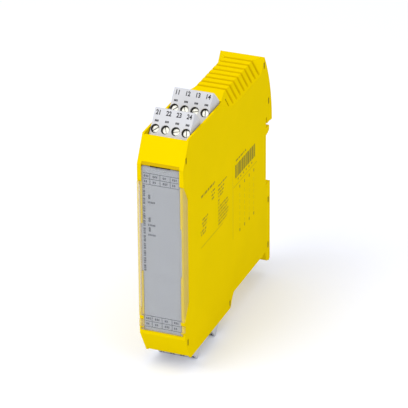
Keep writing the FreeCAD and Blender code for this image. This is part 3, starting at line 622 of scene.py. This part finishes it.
def side_print():
    """generic fields on the right side, where such a module carries its data and wiring sketch"""
    origin = Vector((HALF_WIDTH, 0, MID_Z))
    bars = []
    here = BAR_START
    while here < BAR_END:
        width = BAR_WIDTHS[len(bars) % len(BAR_WIDTHS)]
        bars.append((here, here + width, BAR_LOW, BAR_HIGH))
        here += width + BAR_SPACE
    ink_or_shade_plates("side_bars", bar_ink, origin, BACK, bars)

    small = words(*BAR_HEADING)
    small += [(y, y + DASH_LENGTH, DASH_LOW, DASH_HIGH) for y in DASH_STARTS]
    for line in SIDE_LINES:
        small += words(*line)
    for k in range(PARAGRAPH_LINES):
        end = PARAGRAPH_END + PARAGRAPH_RAG * math.sin(PARAGRAPH_WAVE * k)
        small += words(PARAGRAPH_START, end, PARAGRAPH_TOP - PARAGRAPH_STEP * k, SMALL_HEIGHT)
    half, tall = SKETCH_MARK
    small += [(y - half, y + half, z - tall, z + tall) for y in SKETCH_COLUMNS for z in SKETCH_ENDS]
    ink_or_shade_plates("side_small_print", text_ink, origin, BACK, small)

    rules = list(SIDE_RULES)
    for y in SKETCH_COLUMNS:
        rules += [(y - SKETCH_DASH_HALF, y + SKETCH_DASH_HALF, z, z + SKETCH_DASH_HEIGHT)
                  for z in SKETCH_DASHES]
    ink_or_shade_plates("side_rules", rule_ink, origin, BACK, rules)


def window_places():
    """boxes of the small openings in the side cover's outer face, from its outline"""
    outer = bmesh.new()
    outer.from_mesh(nodes["side_cover"].data)
    bmesh.ops.remove_doubles(outer, verts=outer.verts, dist=SAME)
    plane = HALF_WIDTH - CLOSE
    flat = [f for f in outer.faces if f.normal.x > 0.99 and f.calc_center_median().x > plane]
    inside = set(flat)
    rim = {}
    for face in flat:
        for edge in face.edges:
            if sum(other in inside for other in edge.link_faces) == 1:
                for first, second in (edge.verts, reversed(edge.verts)):
                    rim.setdefault(first.index, []).append(second)
    outer.verts.ensure_lookup_table()
    places = []
    left = set(rim)
    while left:
        loop = []
        todo = [left.pop()]
        while todo:
            here = todo.pop()
            loop.append(outer.verts[here].co.copy())
            for after in rim[here]:
                if after.index in left:
                    left.remove(after.index)
                    todo.append(after.index)
        low = Vector([min(p[k] for p in loop) for k in range(3)])
        high = Vector([max(p[k] for p in loop) for k in range(3)])
        if (high - low).length < WINDOW_LARGEST:
            places.append((low, high))
    outer.free()
    return places


def window_shadows():
    """painted shade: dark plates in the clip windows, over the lugs that stand in them, and deep in
    the latch slot
    """
    front, rear, below, above = WINDOW_MARGINS
    fields = [(low.y / MM + front, high.y / MM - rear, low.z / MM + below, high.z / MM - above)
              for low, high in window_places()]
    plane = Vector((HALF_WIDTH - WINDOW_SUNK, 0, 0))
    ink_or_shade_plates("window_shades", window_shade, plane, BACK, fields)
    latch = Vector((HALF_WIDTH - LATCH_SUNK, 0, MID_Z))
    ink_or_shade_plates("latch_shade", slot_shadow, latch, BACK, [LATCH_FLOOR])


def lip_band():
    """painted shade: the finger bevel above the clear cover as a thin dark strip, and its nail slot
    as a dark plate
    """
    edge = label_high.x - LIP_INSET
    outward = Vector((0, -LIP_SLOPE.z, LIP_SLOPE.y))
    start = Vector((0, housing_low.y, MID_Z + LIP_START))
    mesh = bmesh.new()
    add_plate(mesh, start, RIGHT, LIP_SLOPE, outward, (-edge, edge, 0, LIP_WIDTH))
    piece_from(mesh, "lip_band", "module_body", lip_shade)
    slot = Vector((0, housing_low.y + NAIL_SLOT_SUNK, MID_Z))
    # painted shade in the nail slot
    ink_or_shade_plates("nail_slot_shade", slot_shadow, slot, RIGHT, [NAIL_SLOT_FLOOR])


def frame_strips():
    """the housing's yellow frame on both sides of the label, open beside the label's tabs"""
    front = cover_low.y + COVER_PLATE + COVER_GAP
    mesh = bmesh.new()
    for side in (-1, 1):
        for low, high in FRAME_LEVELS:
            add_plate(mesh, Vector((0, 0, MID_Z)), RIGHT * side, UP, BACK,
                      (*FRAME_STRIP, low * MM, high * MM), depths=(front, label_high.y))
    strips = piece_from(mesh, "frame_strips", "module_body", yellow)
    soft = strips.modifiers.new("soft_edges", "BEVEL")
    soft.width = FRAME_EDGE


def label_print():
    """tables of plain cells, marks below the indicators and a line of small print"""
    origin = Vector((0, LABEL_FRONT, MID_Z))
    edge = label_high.x / MM - TABLE_INSET
    rules = []
    cells = []
    for base, step in TABLES:
        for k in range(TABLE_ROWS + 1):
            level = base + k * step
            rules.append((-edge, edge, level - RULE / 2, level + RULE / 2))
        ends = sorted((base, base + TABLE_ROWS * step))
        rules += [(x - RULE / 2, x + RULE / 2, *ends) for x in TABLE_COLUMNS]
        for row in range(TABLE_ROWS):
            level = base + (row + 0.5) * step
            for x in CELL_MIDDLES:
                marks = list(CELL_MARKS)
                if (row + round(x)) % 2:
                    marks.append(CELL_THIRD_MARK)
                cells += [(x + low, x + high, level - CELL_HALF_HEIGHT, level + CELL_HALF_HEIGHT)
                          for low, high in marks]
    ink_or_shade_plates("label_rules", table_ink, origin, RIGHT, rules)

    start, step, wide, count = GUIDE_WORD
    for level in GUIDE_LEVELS:
        cells += [(start + step * k, start + step * k + wide,
                   level + GUIDE_WORD_LOW, level + GUIDE_WORD_HIGH) for k in range(count)]
    z = EDGE_PRINT_START
    k = 0
    while z < EDGE_PRINT_END:
        tall = EDGE_PRINT_TALL[k % len(EDGE_PRINT_TALL)]
        cells.append((*EDGE_PRINT, z, z + tall))
        z += tall + EDGE_PRINT_SPACES[k % len(EDGE_PRINT_SPACES)]
        k += 1
    ink_or_shade_plates("label_small_print", cell_ink, origin, RIGHT, cells)


# ---- terminal numbers ----------------------------------------------------------------------------
def number(name, body, text, middle, rise, inward):
    """raised number lying on a plug's face"""
    curve = bpy.data.curves.new(name, "FONT")
    curve.body = text
    curve.size = NUMBER_SIZE
    curve.align_x = "CENTER"
    curve.align_y = "CENTER"
    curve.extrude = PRINT_RISE
    curve.offset = NUMBER_SIZE * NUMBER_WEIGHT
    curve.materials.append(number_ink)
    piece = bpy.data.objects.new(name, curve)
    bpy.context.scene.collection.objects.link(piece)
    upward = rise if rise.z > 0 else -rise
    turn = Matrix((RIGHT * NUMBER_NARROW, upward, -inward)).transposed().to_4x4()
    piece.matrix_world = Matrix.Translation(middle) @ turn
    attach(piece, body)


def plug_numbers():
    """plain numbers beside the ridge and a small mark above each screw"""
    wide, tall = MARK_SIZE
    field = (-wide / 2, wide / 2, -tall / 2, tall / 2)
    for place, tens in zip(PLUG_PLACES, PLUG_TENS):
        middle, rise, inward, reach = plug_face(place)
        body = "plug_" + place
        marks = bmesh.new()
        for k in range(POLES):
            spot = middle + RIGHT * (k - (POLES - 1) / 2) * POLE_PITCH
            number(f"number_{place}_{k + 1}", body, str(10 * tens + k + 1),
                   spot + rise * (reach - NUMBER_FROM_RIDGE), rise, inward)
            centre = spot + rise * (WELL_RADIUS + MARK_FROM_WELL)
            for shift in MARK_SHIFTS:
                add_plate(marks, centre + RIGHT * shift * MM, RIGHT, rise, -inward, field)
        piece_from(marks, "marks_" + place, body, number_ink)


# ---- studio ---------------------------------------------------------------------------------
def make_world():
    world = bpy.data.worlds.new("studio")
    bpy.context.scene.world = world
    world.use_nodes = True
    tree = world.node_tree
    soft = tree.nodes["Background"]
    soft.inputs["Color"].default_value = WHITE
    soft.inputs["Strength"].default_value = WORLD_LIGHT
    white = tree.nodes.new("ShaderNodeBackground")
    white.inputs["Strength"].default_value = 1.0
    rays = tree.nodes.new("ShaderNodeLightPath")
    seen = tree.nodes.new("ShaderNodeMath")
    seen.operation = "MAXIMUM"
    tree.links.new(rays.outputs["Is Camera Ray"], seen.inputs[0])
    tree.links.new(rays.outputs["Is Transmission Ray"], seen.inputs[1])
    pick = tree.nodes.new("ShaderNodeMixShader")
    tree.links.new(seen.outputs[0], pick.inputs["Fac"])
    tree.links.new(soft.outputs[0], pick.inputs[1])
    tree.links.new(white.outputs[0], pick.inputs[2])
    tree.links.new(pick.outputs[0], tree.nodes["World Output"].inputs["Surface"])


def make_floor():
    bpy.ops.mesh.primitive_plane_add(size=FLOOR_SIZE, location=(0, 0, cad_low.z))
    floor = bpy.context.object
    floor.name = "studio_floor"
    s = Shader("floor_white")
    s.set(Base_Color=FLOOR_WHITE, Roughness=0.9, Specular_IOR_Level=0.0)
    rays = s.node("ShaderNodeLightPath")
    s.set(Emission_Color=WHITE)
    s.set(Emission_Strength=maths(s, "MULTIPLY", rays.outputs["Is Camera Ray"], FLOOR_GLOW))
    floor.data.materials.append(s.material)


def make_lamp(name, place, width, watts):
    data = bpy.data.lights.new(name, "AREA")
    data.shape = "SQUARE"
    data.size = width
    data.energy = watts
    lamp = bpy.data.objects.new(name, data)
    bpy.context.scene.collection.objects.link(lamp)
    lamp.location = place
    aim = Vector(LAMP_AIM) - Vector(place)
    lamp.rotation_euler = aim.to_track_quat("-Z", "Y").to_euler()


def make_camera():
    """long lens at the viewing angle, aimed beside the housing's middle"""
    azimuth = math.radians(CAMERA_AZIMUTH)
    elevation = math.radians(CAMERA_ELEVATION)
    roll = math.radians(CAMERA_ROLL)
    back = Vector((math.sin(azimuth) * math.cos(elevation),
                   -math.cos(azimuth) * math.cos(elevation), math.sin(elevation)))
    level = Vector((math.cos(azimuth), math.sin(azimuth), 0))
    rise = back.cross(level)
    right = level * math.cos(roll) + rise * math.sin(roll)
    up = rise * math.cos(roll) - level * math.sin(roll)
    data = bpy.data.cameras.new("camera")
    data.sensor_width = CAMERA_SENSOR
    data.lens = CAMERA_LENS
    data.clip_end = CAMERA_CLIP
    camera = bpy.data.objects.new("camera", data)
    bpy.context.scene.collection.objects.link(camera)
    turn = Matrix((right, up, back)).transposed().to_4x4()
    aim = Vector((0, 0, MID_Z)) - right * CAMERA_ASIDE - up * CAMERA_ABOVE
    centre = aim + back * CAMERA_DISTANCE
    camera.matrix_world = Matrix.Translation(centre) @ turn
    bpy.context.scene.camera = camera


def make_studio():
    make_world()
    make_floor()
    for lamp in LAMPS:
        make_lamp(*lamp)
    make_camera()


# ---- build ------------------------------------------------------------------------------------
dress_all()
compress_spring()
side_print()
window_shadows()
lip_band()
frame_strips()
label_print()
plug_numbers()
make_studio()
bpy.context.scene.view_settings.view_transform = "Standard"
